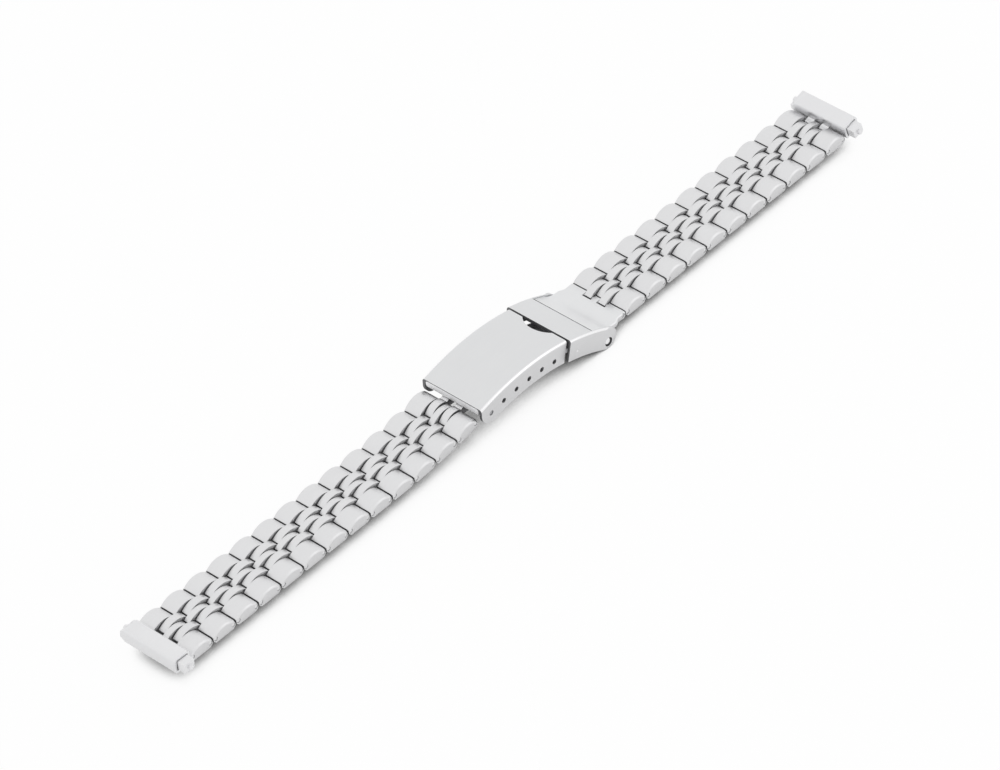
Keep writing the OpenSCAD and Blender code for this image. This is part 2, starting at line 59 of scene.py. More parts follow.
bpy.ops.object.select_all(action="DESELECT")


# The rows of links are solid stainless steel, drawn as a crowned profile, cut to
# length, brushed along the bracelet and tumbled so that the outer edges are soft.
# Two cross pins hold each row, pressed in from the side and set a little deep.

MM = 0.001
PITCH = 4.5
LINK_WIDTH = 10.2
LINK_HEIGHT = 2.0
LINK_END_HEIGHT = 1.15
ROW_GAP = 0.2
END_CUT = 0.45
CENTRE_WIDTH = 1.0
BEAD_WIDTH = 1.25
LANE_GAP = 0.2
PIN_RADIUS = 0.3
PIN_HEIGHT = 0.75
PIN_INSET = 0.52
PIN_RECESS = 0.12
PIN_SHOWN_RECESS = 0.05
PIN_EDGE_ROUND = 0.08
BORE_RADIUS = 0.33
BORE_DEPTH = 0.5
OUTER_EDGE_ROUND = 0.45
SMALL_EDGE_ROUND = 0.09
CROWN_FACETS = 96
SOFT_BEND_STEPS = 5
BAR_SHADED, BAR_LANE_SHADED, BAR_SIDE_SHADED = 1, 2, 3

# Streaks and clouds in the steel are counted per metre, and their depth is in mm.
FINE_STREAKS = (260.0, 9000.0, 9000.0)
WIDE_STREAKS = (90.0, 1900.0, 1900.0)
WEAR_CLOUDS = 210.0
STREAK_DEPTH = 0.01
FINE_TONE = 0.35
WIDE_TONE = 0.25
CLOUD_TONE = 0.4
FINE_HEIGHT = 0.6
WIDE_HEIGHT = 0.4
ROUGHNESS_SPREAD = 0.12

BEAD_INNER = CENTRE_WIDTH / 2 + LANE_GAP
BEAD_OUTER = BEAD_INNER + BEAD_WIDTH
OUTER_INNER = BEAD_OUTER + LANE_GAP
SIDE = LINK_WIDTH / 2


class SteelSocket:
    """One output of a shader node, with the arithmetic that the finishes are written in."""

    def __init__(self, tree, socket):
        self.tree = tree
        self.socket = socket

    def math(self, operation, *others):
        """One Math node on this socket and the other values."""
        node = self.tree.nodes.new("ShaderNodeMath")
        node.operation = operation
        for place, value in enumerate((self, *others)):
            wire(self.tree, node.inputs[place], value)
        return SteelSocket(self.tree, node.outputs[0])

    def __add__(self, other):
        return self.math("ADD", other)

    def __rsub__(self, other):
        return (self * -1.0) + other

    def __mul__(self, other):
        return self.math("MULTIPLY", other)

    __radd__ = __add__
    __rmul__ = __mul__


def wire(tree, target, value):
    """Links a socket, or sets a plain value."""
    if isinstance(value, SteelSocket):
        tree.links.new(value.socket, target)
    else:
        target.default_value = value


class Finish:
    """A material under construction: its node tree, and its shader."""

    def __init__(self, name):
        self.material = bpy.data.materials.new(name)
        self.material.use_nodes = True
        self.tree = self.material.node_tree
        self.shader = self.tree.nodes["Principled BSDF"]

    def node(self, kind, settings=None, output=0, places=None, **values):
        """Any other node: its settings, then its sockets by their place or their name."""
        made = self.tree.nodes.new(kind)
        for key, value in (settings or {}).items():
            setattr(made, key, value)
        for place, value in (places or {}).items():
            wire(self.tree, made.inputs[place], value)
        for key, value in values.items():
            wire(self.tree, made.inputs[key.replace("_", " ")], value)
        return SteelSocket(self.tree, made.outputs[output])

    def blend(self, amount, low, high):
        """A colour between two greys or tints."""
        places = {0: amount, 6: (*low, 1.0), 7: (*high, 1.0)}
        return self.node("ShaderNodeMix", {"data_type": "RGBA"}, output=2, places=places)

    def set(self, **values):
        """Sets or links sockets of the material's own shader."""
        for key, value in values.items():
            wire(self.tree, self.shader.inputs[key.replace("_", " ")], value)


def brushed_steel(name, bright, dark, roughness, streak):
    """Steel brushed along X: long fine streaks, faint cloudy wear, soft reflections."""
    steel = Finish(name)
    place = steel.node("ShaderNodeTexCoord", output="Object")
    fine_map = steel.node("ShaderNodeMapping", Vector=place, Scale=FINE_STREAKS)
    fine = steel.node("ShaderNodeTexNoise", Vector=fine_map, Scale=1.0, Detail=3.0, Roughness=0.6)
    wide_map = steel.node("ShaderNodeMapping", Vector=place, Scale=WIDE_STREAKS)
    wide = steel.node("ShaderNodeTexNoise", Vector=wide_map, Scale=1.0, Detail=2.0, Roughness=0.5)
    cloud = steel.node(
        "ShaderNodeTexNoise", Vector=place, Scale=WEAR_CLOUDS, Detail=3.0, Roughness=0.55
    )
    tone = fine * FINE_TONE + wide * WIDE_TONE + cloud * CLOUD_TONE
    height = fine * FINE_HEIGHT + wide * WIDE_HEIGHT
    depth = STREAK_DEPTH * MM
    bump = steel.node("ShaderNodeBump", Strength=streak, Distance=depth, Height=height)
    steel.set(
        Base_Color=steel.blend(tone, dark, bright),
        Metallic=1.0,
        Roughness=tone * ROUGHNESS_SPREAD + roughness,
        Normal=bump,
    )
    return steel.material


link_steel = brushed_steel("link_steel", (0.86, 0.86, 0.865), (0.76, 0.76, 0.77), 0.36, 0.25)
# A darker copy of the link steel, for the outer side faces: painted shade, as they catch less light
# than the tops.
side_painted_shade_steel = brushed_steel("side_painted_shade_steel", (0.77, 0.77, 0.775), (0.69, 0.69, 0.7), 0.38, 0.2)
# A darker copy again, for the walls of the narrow lanes between links and beads: painted shade
# between the parts.
lane_painted_shade_steel = brushed_steel("lane_painted_shade_steel", (0.66, 0.66, 0.665), (0.56, 0.56, 0.565), 0.4, 0.2)
# A near black copy, for the row ends, bores, pins in the lanes and the clasp's insides: painted
# shade where little light gets in.
painted_shade_steel = brushed_steel("painted_shade_steel", (0.26, 0.26, 0.265), (0.15, 0.15, 0.155), 0.5, 0.3)


def select_where(obj, kind, test):
    """In edit mode, selects the faces or edges whose corners, in mm, all pass the test."""
    mesh = bmesh.from_edit_mesh(obj.data)
    bpy.ops.mesh.select_all(action="DESELECT")
    bpy.ops.mesh.select_mode(type=kind)
    for item in mesh.edges if kind == "EDGE" else mesh.faces:
        item.select_set(all(test(*(v.co / MM)) for v in item.verts))
    bmesh.update_edit_mesh(obj.data)


def cut_away(obj, point, normal):
    """In edit mode, cuts a closed mesh with a plane and removes what is in front of it."""
    bpy.ops.mesh.select_all(action="SELECT")
    bpy.ops.mesh.bisect(
        plane_co=Vector(point) * MM,
        plane_no=normal,
        use_fill=True,
        clear_outer=True,
        threshold=1e-7,
    )


def edit(obj):
    """Makes one object the only one selected, and opens it in edit mode."""
    bpy.ops.object.select_all(action="DESELECT")
    obj.select_set(True)
    bpy.context.view_layer.objects.active = obj
    bpy.ops.object.mode_set(mode="EDIT")
    bpy.ops.mesh.select_all(action="SELECT")


def leave_edit():
    """Closes edit mode, which writes the shape back to the object's mesh."""
    bpy.ops.object.mode_set(mode="OBJECT")


def round_selected(width, segments=SOFT_BEND_STEPS):
    """In edit mode, rounds the selected edges."""
    bpy.ops.mesh.bevel(offset=width * MM, segments=segments, profile=0.5, affect="EDGES")


def soften(obj, width, segments=2, angle=40.0):
    """Rounds every edge that is sharper than the angle."""
    bevel = obj.modifiers.new("edges", "BEVEL")
    bevel.width = width * MM
    bevel.segments = segments
    bevel.limit_method = "ANGLE"
    bevel.angle_limit = math.radians(angle)
    bpy.context.view_layer.objects.active = obj
    bpy.ops.object.modifier_apply(modifier=bevel.name)


def smooth(obj, angle=32.0):
    """Shades the faces smooth, but for the edges that are sharper than the angle."""
    bpy.ops.object.select_all(action="DESELECT")
    obj.select_set(True)
    bpy.context.view_layer.objects.active = obj
    bpy.ops.object.shade_smooth_by_angle(angle=math.radians(angle))


def rod_along_y(radius, y0, y1, x, z, vertices=32):
    """A cylinder across the bracelet, from y0 to y1, all in mm."""
    bpy.ops.mesh.primitive_cylinder_add(
        vertices=vertices,
        radius=radius * MM,
        depth=(y1 - y0) * MM,
        location=Vector((x, (y0 + y1) / 2, z)) * MM,
        rotation=(math.pi / 2, 0, 0),
    )
    made = bpy.context.object
    bpy.ops.object.transform_apply(location=True, rotation=True, scale=True)
    return made


def combine(obj, tool, operation):
    """Adds or takes away another solid, which is then removed."""
    joined = obj.modifiers.new("solid", "BOOLEAN")
    joined.operation = operation
    joined.solver = "EXACT"
    joined.object = tool
    bpy.context.view_layer.objects.active = obj
    bpy.ops.object.modifier_apply(modifier=joined.name)
    bpy.data.objects.remove(tool, do_unlink=True)


def crowned_bar(u0, u1, y0, y1, outer_round=0.0):
    """One link or bead: a slice of a wide cylinder, flat below and square at its ends."""
    middle = (u0 + u1) / 2
    half = (u1 - u0) / 2
    drop = LINK_HEIGHT - LINK_END_HEIGHT
    crown = (half * half + drop * drop) / (2 * drop)
    bar = rod_along_y(crown, y0, y1, middle, LINK_HEIGHT - crown, CROWN_FACETS)
    edit(bar)
    cut_away(bar, (0, 0, 0), (0, 0, -1))
    cut_away(bar, (u0, 0, 0), (-1, 0, 0))
    cut_away(bar, (u1, 0, 0), (1, 0, 0))
    cut_away(bar, (u0, 0, END_CUT), (-1, 0, -1))
    cut_away(bar, (u1, 0, END_CUT), (1, 0, -1))
    if outer_round:
        edge_y = y1 if y1 > -y0 else y0
        select_where(
            bar,
            "EDGE",
            lambda x, y, z: abs(y - edge_y) < 0.01 and z > LINK_END_HEIGHT - 0.02,
        )
        round_selected(outer_round)
    leave_edit()
    soften(bar, SMALL_EDGE_ROUND)
    # Painted shade: the row ends get the near black copy, the lane walls and the outer side the
    # darker copies.
    for steel in (link_steel, painted_shade_steel, lane_painted_shade_steel, side_painted_shade_steel):
        bar.data.materials.append(steel)
    outer_y = (y1 if y1 > -y0 else y0) if outer_round else math.inf
    for face in bar.data.polygons:
        if face.normal.z < 0.5 and abs(face.normal.x) > 0.7:
            face.material_index = BAR_SHADED
        elif abs(face.normal.y) > 0.9:
            in_lane = abs(face.center.y / MM - outer_y) > 0.2
            face.material_index = BAR_LANE_SHADED if in_lane else BAR_SIDE_SHADED
    return bar


def join(parts, name):
    """Makes one piece of several."""
    bpy.ops.object.select_all(action="DESELECT")
    for part in parts:
        part.select_set(True)
    bpy.context.view_layer.objects.active = parts[0]
    bpy.ops.object.join()
    parts[0].name = name
    parts[0].data.name = name
    return parts[0]


def pinned(y_side, pin_x):
    """The end of a cross pin, slightly domed, as it shows in the side of an outer link."""
    end_y = y_side * (SIDE - PIN_SHOWN_RECESS)
    start_y = y_side * OUTER_INNER
    pin = rod_along_y(PIN_RADIUS, *sorted((start_y, end_y)), pin_x, PIN_HEIGHT, 24)
    edit(pin)
    select_where(pin, "EDGE", lambda x, y, z: abs(y - end_y) < 0.001)
    round_selected(PIN_EDGE_ROUND, 2)
    leave_edit()
    pin.data.materials.append(link_steel)
    return pin


def outer_link(y_side):
    """An outer link with its two bores."""
    y0, y1 = sorted((y_side * OUTER_INNER, y_side * SIDE))
    link = crowned_bar(ROW_GAP / 2, PITCH - ROW_GAP / 2, y0, y1, OUTER_EDGE_ROUND)
    for pin_x in (PIN_INSET, PITCH - PIN_INSET):
        bore_y = sorted((y_side * (SIDE - BORE_DEPTH), y_side * (SIDE + BORE_DEPTH)))
        combine(link, rod_along_y(BORE_RADIUS, *bore_y, pin_x, PIN_HEIGHT), "DIFFERENCE")
    return link


def centre_bead():
    """The narrow bead in the middle of a row."""
    return crowned_bar(ROW_GAP / 2, PITCH - ROW_GAP / 2, -CENTRE_WIDTH / 2, CENTRE_WIDTH / 2)


def bridge_pins():
    """The cross pins where they cross the open lanes."""
    pins = [
        rod_along_y(PIN_RADIUS, -OUTER_INNER, OUTER_INNER, x, PIN_HEIGHT, 24)
        for x in (PIN_INSET, PITCH - PIN_INSET)
    ]
    # The pins across the open lanes get painted shade, near black.
    for pin in pins:
        pin.data.materials.append(painted_shade_steel)
    return pins


row_parts = [outer_link(-1), outer_link(1), centre_bead(), *bridge_pins()]
row_parts += [pinned(side, x) for side in (-1, 1) for x in (PIN_INSET, PITCH - PIN_INSET)]
row_master = join(row_parts, "row_master")
smooth(row_master)

hinges = [joint for joint in frame["joints"] if joint["type"] == "hinge"]
clasp_side = {hinge["child"]: Vector(hinge["pos_m"]) for hinge in hinges}
outer_side = {hinge["parent"]: Vector(hinge["pos_m"]) for hinge in hinges}


def lay_on(body, local_pin):
    """Where a row's piece lies: its clasp side pin on its hinge, turned to the next pin."""
    pin = clasp_side[body]
    along = (pin - outer_side[body]).normalized()
    up = Vector((-along.z, 0, along.x)) if along.x > 0 else Vector((along.z, 0, -along.x))
    turned = Matrix((along, up.cross(along), up)).transposed().to_4x4()
    return Matrix.Translation(pin) @ turned @ Matrix.Translation(-Vector(local_pin) * MM)


def copy_to(master, body, local_pin, name):
    """A copy of a master piece with its own mesh, in place on a body."""
    piece = master.copy()
    piece.data = master.data.copy()
    piece.name = name
    piece.data.name = name
    piece.data.transform(lay_on(body, local_pin))
    bpy.context.scene.collection.objects.link(piece)
    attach(piece, body)
    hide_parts(body)


for body in sorted(frame["bodies"]):
    if body.endswith("_links"):
        row_name = body.replace("links", "link_row")
        copy_to(row_master, body, (PITCH - PIN_INSET, 0, PIN_HEIGHT), row_name)
bpy.data.objects.remove(row_master, do_unlink=True)


# The side beads are short crowned bars of the same drawn steel. A pair of them
# bridges each row to the next towards the clasp, turning on one pin of either row.

BEAD_START = 1.15
BEAD_END = PITCH + 2 * PIN_INSET - ROW_GAP / 2

bead_master = join(
    [
        crowned_bar(BEAD_START, BEAD_END, -BEAD_OUTER, -BEAD_INNER),
        crowned_bar(BEAD_START, BEAD_END, BEAD_INNER, BEAD_OUTER),
    ],
    "bead_master",
)
smooth(bead_master)
for body in sorted(frame["bodies"]):
    if body.endswith("_side_beads"):
        pair_name = body.replace("side_beads", "bead_pair")
        copy_to(bead_master, body, (PITCH + PIN_INSET, 0, PIN_HEIGHT), pair_name)
bpy.data.objects.remove(bead_master, do_unlink=True)


# The clasp cover is pressed from one sheet of steel into a long arch with two side
# walls. Its bends are polished, with a painted highlight, and each wall is punched with a
# row of adjusting holes. A shallow bay is cut in the end that meets the flap. Its inside
# and its outer sides are painted darker as shade.

ARCH_RADIUS = 35.9
WALL_HEIGHT = 3.7
TOP_THICKNESS = 0.55
WALL_THICKNESS = 0.45
SHEET_EDGE_ROUND = 0.05
COVER_HALF_WIDTH = 5.6
COVER_SIX_ANGLE = -16.0
COVER_TWELVE_ANGLE = 13.25
COVER_CORNER = 2.0
LIP_HEIGHT = 1.05
LIP_THICKNESS = 0.5
LIP_END_GAP = 0.22
LIP_CORNER = 0.3
LIP_PROUD = 0.07
LIP_LINE = 0.14
LIP_EDGE_ROUND = 0.04
HOLE_RADIUS = 0.4
HOLE_PITCH = 2.7
HOLE_COUNT = 6
HOLE_DEPTH = 2.15
HOLE_FALL = 0.3
HOLE_ANGLE = -13.6
NOTCH_WIDTH = 5.6
NOTCH_DEPTH = 1.3
BEND_ROUND = 0.45
ARCH_STEPS = 48
CUT_HALF = 8
CHANNEL_OVERRUN = 3
SHEET_BEND_HIGHLIGHT, SHEET_SHADED, SHEET_SIDE_SHADED = 1, 2, 3

hole_circle = ARCH_RADIUS - HOLE_DEPTH
wall_circle = ARCH_RADIUS - WALL_HEIGHT
bar_place = clasp_side["spring_bar_link"] / MM
arch_x = bar_place.x - hole_circle * math.sin(math.radians(HOLE_ANGLE))
arch_z = bar_place.z - hole_circle * math.cos(math.radians(HOLE_ANGLE))


def on_arch(radius, angle):
    """A point of the side view, by distance from the arch's middle and angle from its crown."""
    turn = math.radians(angle)
    return arch_x + radius * math.sin(turn), arch_z + radius * math.cos(turn)


def arch_section(name, radius, angle, height, half_width):
    """A flat section across the arch, in the plane that its radius lies in."""
    x, z = on_arch(radius, angle)
    bpy.ops.mesh.primitive_plane_add(
        size=1,
        location=Vector((x, 0, z)) * MM,
        rotation=(0, math.radians(angle) - math.pi / 2, 0),
    )
    made = bpy.context.object
    made.name = name
    made.scale = (height * MM, 2 * half_width * MM, 1)
    bpy.ops.object.transform_apply(location=True, rotation=True, scale=True)
    edit(made)
    return made


def channel(name, half_width, wall_height, first_angle, last_angle):
    """A U-shaped channel: its section is drawn at one end of the arch, and spun along it."""
    middle_radius = ARCH_RADIUS - wall_height / 2
    made = arch_section(name, middle_radius, first_angle, wall_height, half_width)
    inner = half_width - WALL_THICKNESS
    for side in (-1, 1):
        bpy.ops.mesh.select_all(action="SELECT")
        bpy.ops.mesh.bisect(plane_co=(0, side * inner * MM, 0), plane_no=(0, 1, 0))
    under_x, under_z = on_arch(ARCH_RADIUS - TOP_THICKNESS, first_angle)
    turn = math.radians(first_angle)
    bpy.ops.mesh.select_all(action="SELECT")
    bpy.ops.mesh.bisect(
        plane_co=Vector((under_x, 0, under_z)) * MM,
        plane_no=(math.sin(turn), 0, math.cos(turn)),
    )
    low = ARCH_RADIUS - TOP_THICKNESS + 0.01
    select_where(
        made,
        "FACE",
        lambda x, y, z: abs(y) < inner + 0.01 and math.hypot(x - arch_x, z - arch_z) < low,
    )
    bpy.ops.mesh.delete(type="FACE")
    bpy.ops.mesh.select_all(action="SELECT")
    bpy.ops.mesh.spin(
        steps=ARCH_STEPS,
        angle=math.radians(last_angle - first_angle),
        center=Vector((arch_x, 0, arch_z)) * MM,
        axis=(0, -1, 0),
    )
    bpy.ops.mesh.select_all(action="SELECT")
    bpy.ops.mesh.remove_doubles(threshold=1e-7)
    bpy.ops.mesh.normals_make_consistent(inside=False)
    leave_edit()
    return made


def round_bends(obj, half_width, width):
    """Rounds the two long outer bends between a channel's top and its walls."""
    edit(obj)
    select_where(
        obj,
        "EDGE",
        lambda x, y, z: abs(abs(y) - half_width) < 0.01
        and math.hypot(x - arch_x, z - arch_z) > ARCH_RADIUS - 0.05,
    )
    round_selected(width)
    leave_edit()


clasp_steel = brushed_steel("clasp_steel", (0.82, 0.825, 0.83), (0.75, 0.755, 0.765), 0.3, 0.12)
# A lighter copy for the polished bends and rivet ends: they are smoother, and their lighter colour
# is a painted highlight.
polished_painted_highlight_steel = brushed_steel("polished_painted_highlight_steel", (0.98, 0.98, 0.985), (0.93, 0.93, 0.94), 0.2, 0.04)


def finish_channel(obj, half_width, shade_to):
    """Brushed outside; a painted highlight on the polished bends, and painted shade inside as far
    as an X and on the outer sides.
    """
    for steel in (clasp_steel, polished_painted_highlight_steel, painted_shade_steel, side_painted_shade_steel):
        obj.data.materials.append(steel)
    inner = half_width - WALL_THICKNESS
    bend = BEND_ROUND + 0.05
    for face in obj.data.polygons:
        middle = face.center / MM
        out = math.hypot(middle.x - arch_x, middle.z - arch_z)
        on_bend = abs(middle.y) > half_width - bend and out > ARCH_RADIUS - bend
        inside = abs(middle.y) < inner + 0.02 and out < ARCH_RADIUS - TOP_THICKNESS + 0.02
        if on_bend and 0.2 < abs(face.normal.y) < 0.95:
            face.material_index = SHEET_BEND_HIGHLIGHT
        elif inside and middle.x < shade_to:
            face.material_index = SHEET_SHADED
        elif abs(face.normal.y) > 0.9 and abs(middle.y) > inner + 0.1:
            face.material_index = SHEET_SIDE_SHADED


# The six end stands upright, so the channel starts beyond it and is cut there.
end_x, end_z = on_arch(ARCH_RADIUS, COVER_SIX_ANGLE)
beyond_end = COVER_SIX_ANGLE - CHANNEL_OVERRUN
cover = channel("clasp_cover_shell", COVER_HALF_WIDTH, WALL_HEIGHT, beyond_end, COVER_TWELVE_ANGLE)
round_bends(cover, COVER_HALF_WIDTH, BEND_ROUND)
edit(cover)
cut_away(cover, (end_x, 0, 0), (-1, 0, 0))
leave_edit()


def block(x0, x1, y0, y1, z0, z1):
    """A plain block between two corners, in mm, for shaping or cutting."""
    middle = Vector(((x0 + x1) / 2, (y0 + y1) / 2, (z0 + z1) / 2))
    bpy.ops.mesh.primitive_cube_add(size=1, location=middle * MM)
    made = bpy.context.object
    made.scale = ((x1 - x0) * MM, (y1 - y0) * MM, (z1 - z0) * MM)
    bpy.ops.object.transform_apply(location=True, rotation=True, scale=True)
    return made


# The lower corners at the six end are rounded off with a cutter: a block less a disc.
corner_x = end_x + COVER_CORNER
corner_run = (corner_x - arch_x) / (wall_circle + COVER_CORNER)
corner_z = arch_z + (wall_circle + COVER_CORNER) * math.sqrt(1 - corner_run**2)
corner_end = arch_x + wall_circle * corner_run
cutter = block(end_x - 1, corner_end, -CUT_HALF, CUT_HALF, corner_z - 4, corner_z)
disc = rod_along_y(COVER_CORNER, -CUT_HALF - 1, CUT_HALF + 1, corner_x, corner_z, 96)
combine(cutter, disc, "DIFFERENCE")
combine(cover, cutter, "DIFFERENCE")

# A lip with rounded corners is turned down just under the top's six end.
lip_half = COVER_HALF_WIDTH - WALL_THICKNESS - LIP_END_GAP
lip_x = (end_x - LIP_PROUD, end_x + LIP_THICKNESS)
lip = block(*lip_x, -lip_half, lip_half, end_z - LIP_HEIGHT, end_z - LIP_LINE)
edit(lip)
mesh = bmesh.from_edit_mesh(lip.data)
for edge in mesh.edges:
    edge.select_set(abs(edge.verts[0].co.x - edge.verts[1].co.x) > 0.1 * MM)
bmesh.update_edit_mesh(lip.data)
round_selected(LIP_CORNER)
leave_edit()
soften(lip, LIP_EDGE_ROUND, 2, 60.0)
smooth(lip)
# The lip is painted near white: painted light on a front that would otherwise show dark.
lip_painted_light_steel = brushed_steel("lip_painted_light_steel", (0.98, 0.98, 0.985), (0.93, 0.93, 0.94), 0.6, 0.05)
lip.data.materials.append(lip_painted_light_steel)

# The finger notch is cut with a wide disc that lies in the top's slope.
notch_radius = ((NOTCH_WIDTH / 2) ** 2 + NOTCH_DEPTH**2) / (2 * NOTCH_DEPTH)
notch_turn = math.radians(COVER_TWELVE_ANGLE)
edge_x, edge_z = on_arch(ARCH_RADIUS - TOP_THICKNESS / 2, COVER_TWELVE_ANGLE)
reach = notch_radius - NOTCH_DEPTH
notch_x = edge_x + reach * math.cos(notch_turn)
notch_z = edge_z - reach * math.sin(notch_turn)
bpy.ops.mesh.primitive_cylinder_add(
    vertices=128,
    radius=notch_radius * MM,
    depth=3 * TOP_THICKNESS * MM,
    location=Vector((notch_x, 0, notch_z)) * MM,
    rotation=(0, notch_turn, 0),
)
combine(cover, bpy.context.object, "DIFFERENCE")
soften(cover, SHEET_EDGE_ROUND, 2, 50.0)

hole_step = math.degrees(HOLE_PITCH / hole_circle)
for number in range(HOLE_COUNT):
    fall = HOLE_FALL * number / (HOLE_COUNT - 1)
    x, z = on_arch(hole_circle - fall, HOLE_ANGLE + number * hole_step)
    punch = rod_along_y(HOLE_RADIUS, -2 * COVER_HALF_WIDTH, 2 * COVER_HALF_WIDTH, x, z, 40)
    combine(cover, punch, "DIFFERENCE")
smooth(cover, 30.0)
finish_channel(cover, COVER_HALF_WIDTH, math.inf)
# Painted shade, near black, on the faces that look towards the six end.
for face in cover.data.polygons:
    if face.normal.x < -0.7 and face.center.x / MM < end_x + COVER_CORNER:
        face.material_index = SHEET_SHADED
cover = join([cover, lip], "clasp_cover_shell")
smooth(cover, 30.0)
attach(cover, "clasp_cover")
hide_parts("clasp_cover")


# The spring bar link is a tube on the clasp's spring bar. Two strips of the same
# steel run from it into the last row of the six side and end as that row's beads.

TUBE_RADIUS = 1.0
TUBE_HALF = 4.9
TUBE_END_ROUND = 0.15

last_row = max(
    body for body in frame["bodies"] if body.startswith("six_") and body.endswith("_links")
)
last_pin = clasp_side[last_row] / MM
bar_link = rod_along_y(TUBE_RADIUS, -TUBE_HALF, TUBE_HALF, bar_place.x, bar_place.z, 64)
bar_link.name = "spring_bar_tube"
edit(bar_link)
select_where(bar_link, "EDGE", lambda x, y, z: abs(abs(y) - TUBE_HALF) < 0.001)
round_selected(TUBE_END_ROUND, 3)
leave_edit()
# The tube is painted near black, as shade under the cover's lip.
bar_link.data.materials.append(painted_shade_steel)
strip_way = bar_place - last_pin
strip_turn = math.atan2(strip_way.z, strip_way.x)
nose = PIN_INSET - ROW_GAP / 2
strips = []
for side in (-1, 1):
    y0, y1 = sorted((side * BEAD_INNER, side * BEAD_OUTER))
    bead = crowned_bar(BEAD_START, PITCH + ROW_GAP / 2, y0, y1)
    bead.data.transform(lay_on(last_row, (PITCH - PIN_INSET, 0, PIN_HEIGHT)))
    strip = block(0, strip_way.length, y0 + 0.01, y1 - 0.01, -TUBE_RADIUS, TUBE_RADIUS)
    edit(strip)
    select_where(strip, "FACE", lambda x, y, z: x < 0.01)
    bpy.ops.transform.resize(value=(1, 1, nose / TUBE_RADIUS))
    leave_edit()
    strip.data.transform(Matrix.Translation(last_pin * MM) @ Matrix.Rotation(-strip_turn, 4, "Y"))
    combine(bead, strip, "UNION")
    # The strips' side faces get painted shade, near black.
    for face in bead.data.polygons:
        if abs(face.normal.y) > 0.9:
            face.material_index = BAR_SHADED
    strips.append(bead)
bar_link = join([bar_link, *strips], "spring_bar_tube")
smooth(bar_link)
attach(bar_link, "spring_bar_link")
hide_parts("spring_bar_link")


# The safety flap is pressed from the same sheet steel into a shorter channel, just
# wider than the cover. Its walls, each punched with a small dimple, run on as two
# ears with round ends, which turn on the rivet.

FLAP_GAP = 0.4
FLAP_TOP_LENGTH = 5.1
FLAP_TOP_TRIM = 0.15
FLAP_WALL_HEIGHT = 3.5
FLAP_HALF_WIDTH = 6.05
FLAP_BEND_ROUND = 0.4
EAR_ANGLE = 28.5
EAR_BORE = 0.74
DIMPLE_RADIUS = 0.25
DIMPLE_LIFT = 0.08
DIMPLE_PLACE = 1.9
TRIM_BLOCK = 12

flap_first = COVER_TWELVE_ANGLE + math.degrees(FLAP_GAP / ARCH_RADIUS)
flap_last = flap_first + math.degrees(FLAP_TOP_LENGTH / ARCH_RADIUS)
flap = channel("safety_flap_shell", FLAP_HALF_WIDTH, FLAP_WALL_HEIGHT, flap_first, EAR_ANGLE)
round_bends(flap, FLAP_HALF_WIDTH, FLAP_BEND_ROUND)

# Beyond the flap's top only the two walls run on, and each takes a round end.
inner_face = FLAP_HALF_WIDTH - WALL_THICKNESS
flap_trim = flap_last - math.degrees(FLAP_TOP_TRIM / ARCH_RADIUS)
cut_x, cut_z = on_arch(ARCH_RADIUS, flap_trim)
cut_turn = math.radians(flap_trim)
cut_middle_x = cut_x + TRIM_BLOCK / 2 * math.cos(cut_turn)
cut_middle_z = cut_z - TRIM_BLOCK / 2 * math.sin(cut_turn)
bpy.ops.mesh.primitive_cube_add(
    size=1,
    location=Vector((cut_middle_x, 0, cut_middle_z)) * MM,
    rotation=(0, cut_turn, 0),
)
cutter = bpy.context.object
cutter.scale = (TRIM_BLOCK * MM, 2 * inner_face * MM, TRIM_BLOCK * MM)
bpy.ops.object.transform_apply(location=True, rotation=True, scale=True)
combine(flap, cutter, "DIFFERENCE")
ear_radius = FLAP_WALL_HEIGHT / 2
ear_x, ear_z = on_arch(ARCH_RADIUS - ear_radius, EAR_ANGLE)
for side in (-1, 1):
    y0, y1 = sorted((side * inner_face, side * FLAP_HALF_WIDTH))
    combine(flap, rod_along_y(ear_radius, y0, y1, ear_x, ear_z, 96), "UNION")
soften(flap, SHEET_EDGE_ROUND, 2, 50.0)
dimple_angle = flap_first + math.degrees(DIMPLE_PLACE / ARCH_RADIUS)
dimple_x, dimple_z = on_arch(hole_circle, dimple_angle)
for side in (-1, 1):
    bpy.ops.mesh.primitive_uv_sphere_add(
        segments=24,
        ring_count=12,
        radius=DIMPLE_RADIUS * MM,
        location=Vector((dimple_x, side * (FLAP_HALF_WIDTH + DIMPLE_LIFT), dimple_z)) * MM,
    )
    combine(flap, bpy.context.object, "DIFFERENCE")
rivet_place = clasp_side["safety_flap"] / MM
ear_drill = rod_along_y(EAR_BORE, -CUT_HALF, CUT_HALF, rivet_place.x, rivet_place.z, 48)
combine(flap, ear_drill, "DIFFERENCE")
smooth(flap, 30.0)
finish_channel(flap, FLAP_HALF_WIDTH, cut_x)
# Painted shade, near black, on the flap's end faces at its gap to the cover and in the bore of the
# ears.
gap_x = on_arch(ARCH_RADIUS, flap_first)[0]
for face in flap.data.polygons:
    middle = face.center / MM
    from_rivet = math.hypot(middle.x - rivet_place.x, middle.z - rivet_place.z)
    facing_gap = face.normal.x < -0.5 and middle.x < gap_x + 0.2
    if facing_gap or (from_rivet < EAR_BORE + 0.02 and abs(face.normal.y) < 0.5):
        face.material_index = SHEET_SHADED
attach(flap, "safety_flap")
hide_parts("safety_flap")


# The rivet is a turned steel pin with domed, polished ends, held by the inner blade.
# Both ears and the end plate turn on it, and it ends a little deep in the ears.

RIVET_RADIUS = 0.62
RIVET_RECESS = 0.12
RIVET_DOME = 0.3

rivet_end = FLAP_HALF_WIDTH - RIVET_RECESS
rivet = rod_along_y(RIVET_RADIUS, -rivet_end, rivet_end, rivet_place.x, rivet_place.z, 48)
rivet.name = "ear_rivet"
soften(rivet, RIVET_DOME, 6, 60.0)
smooth(rivet)
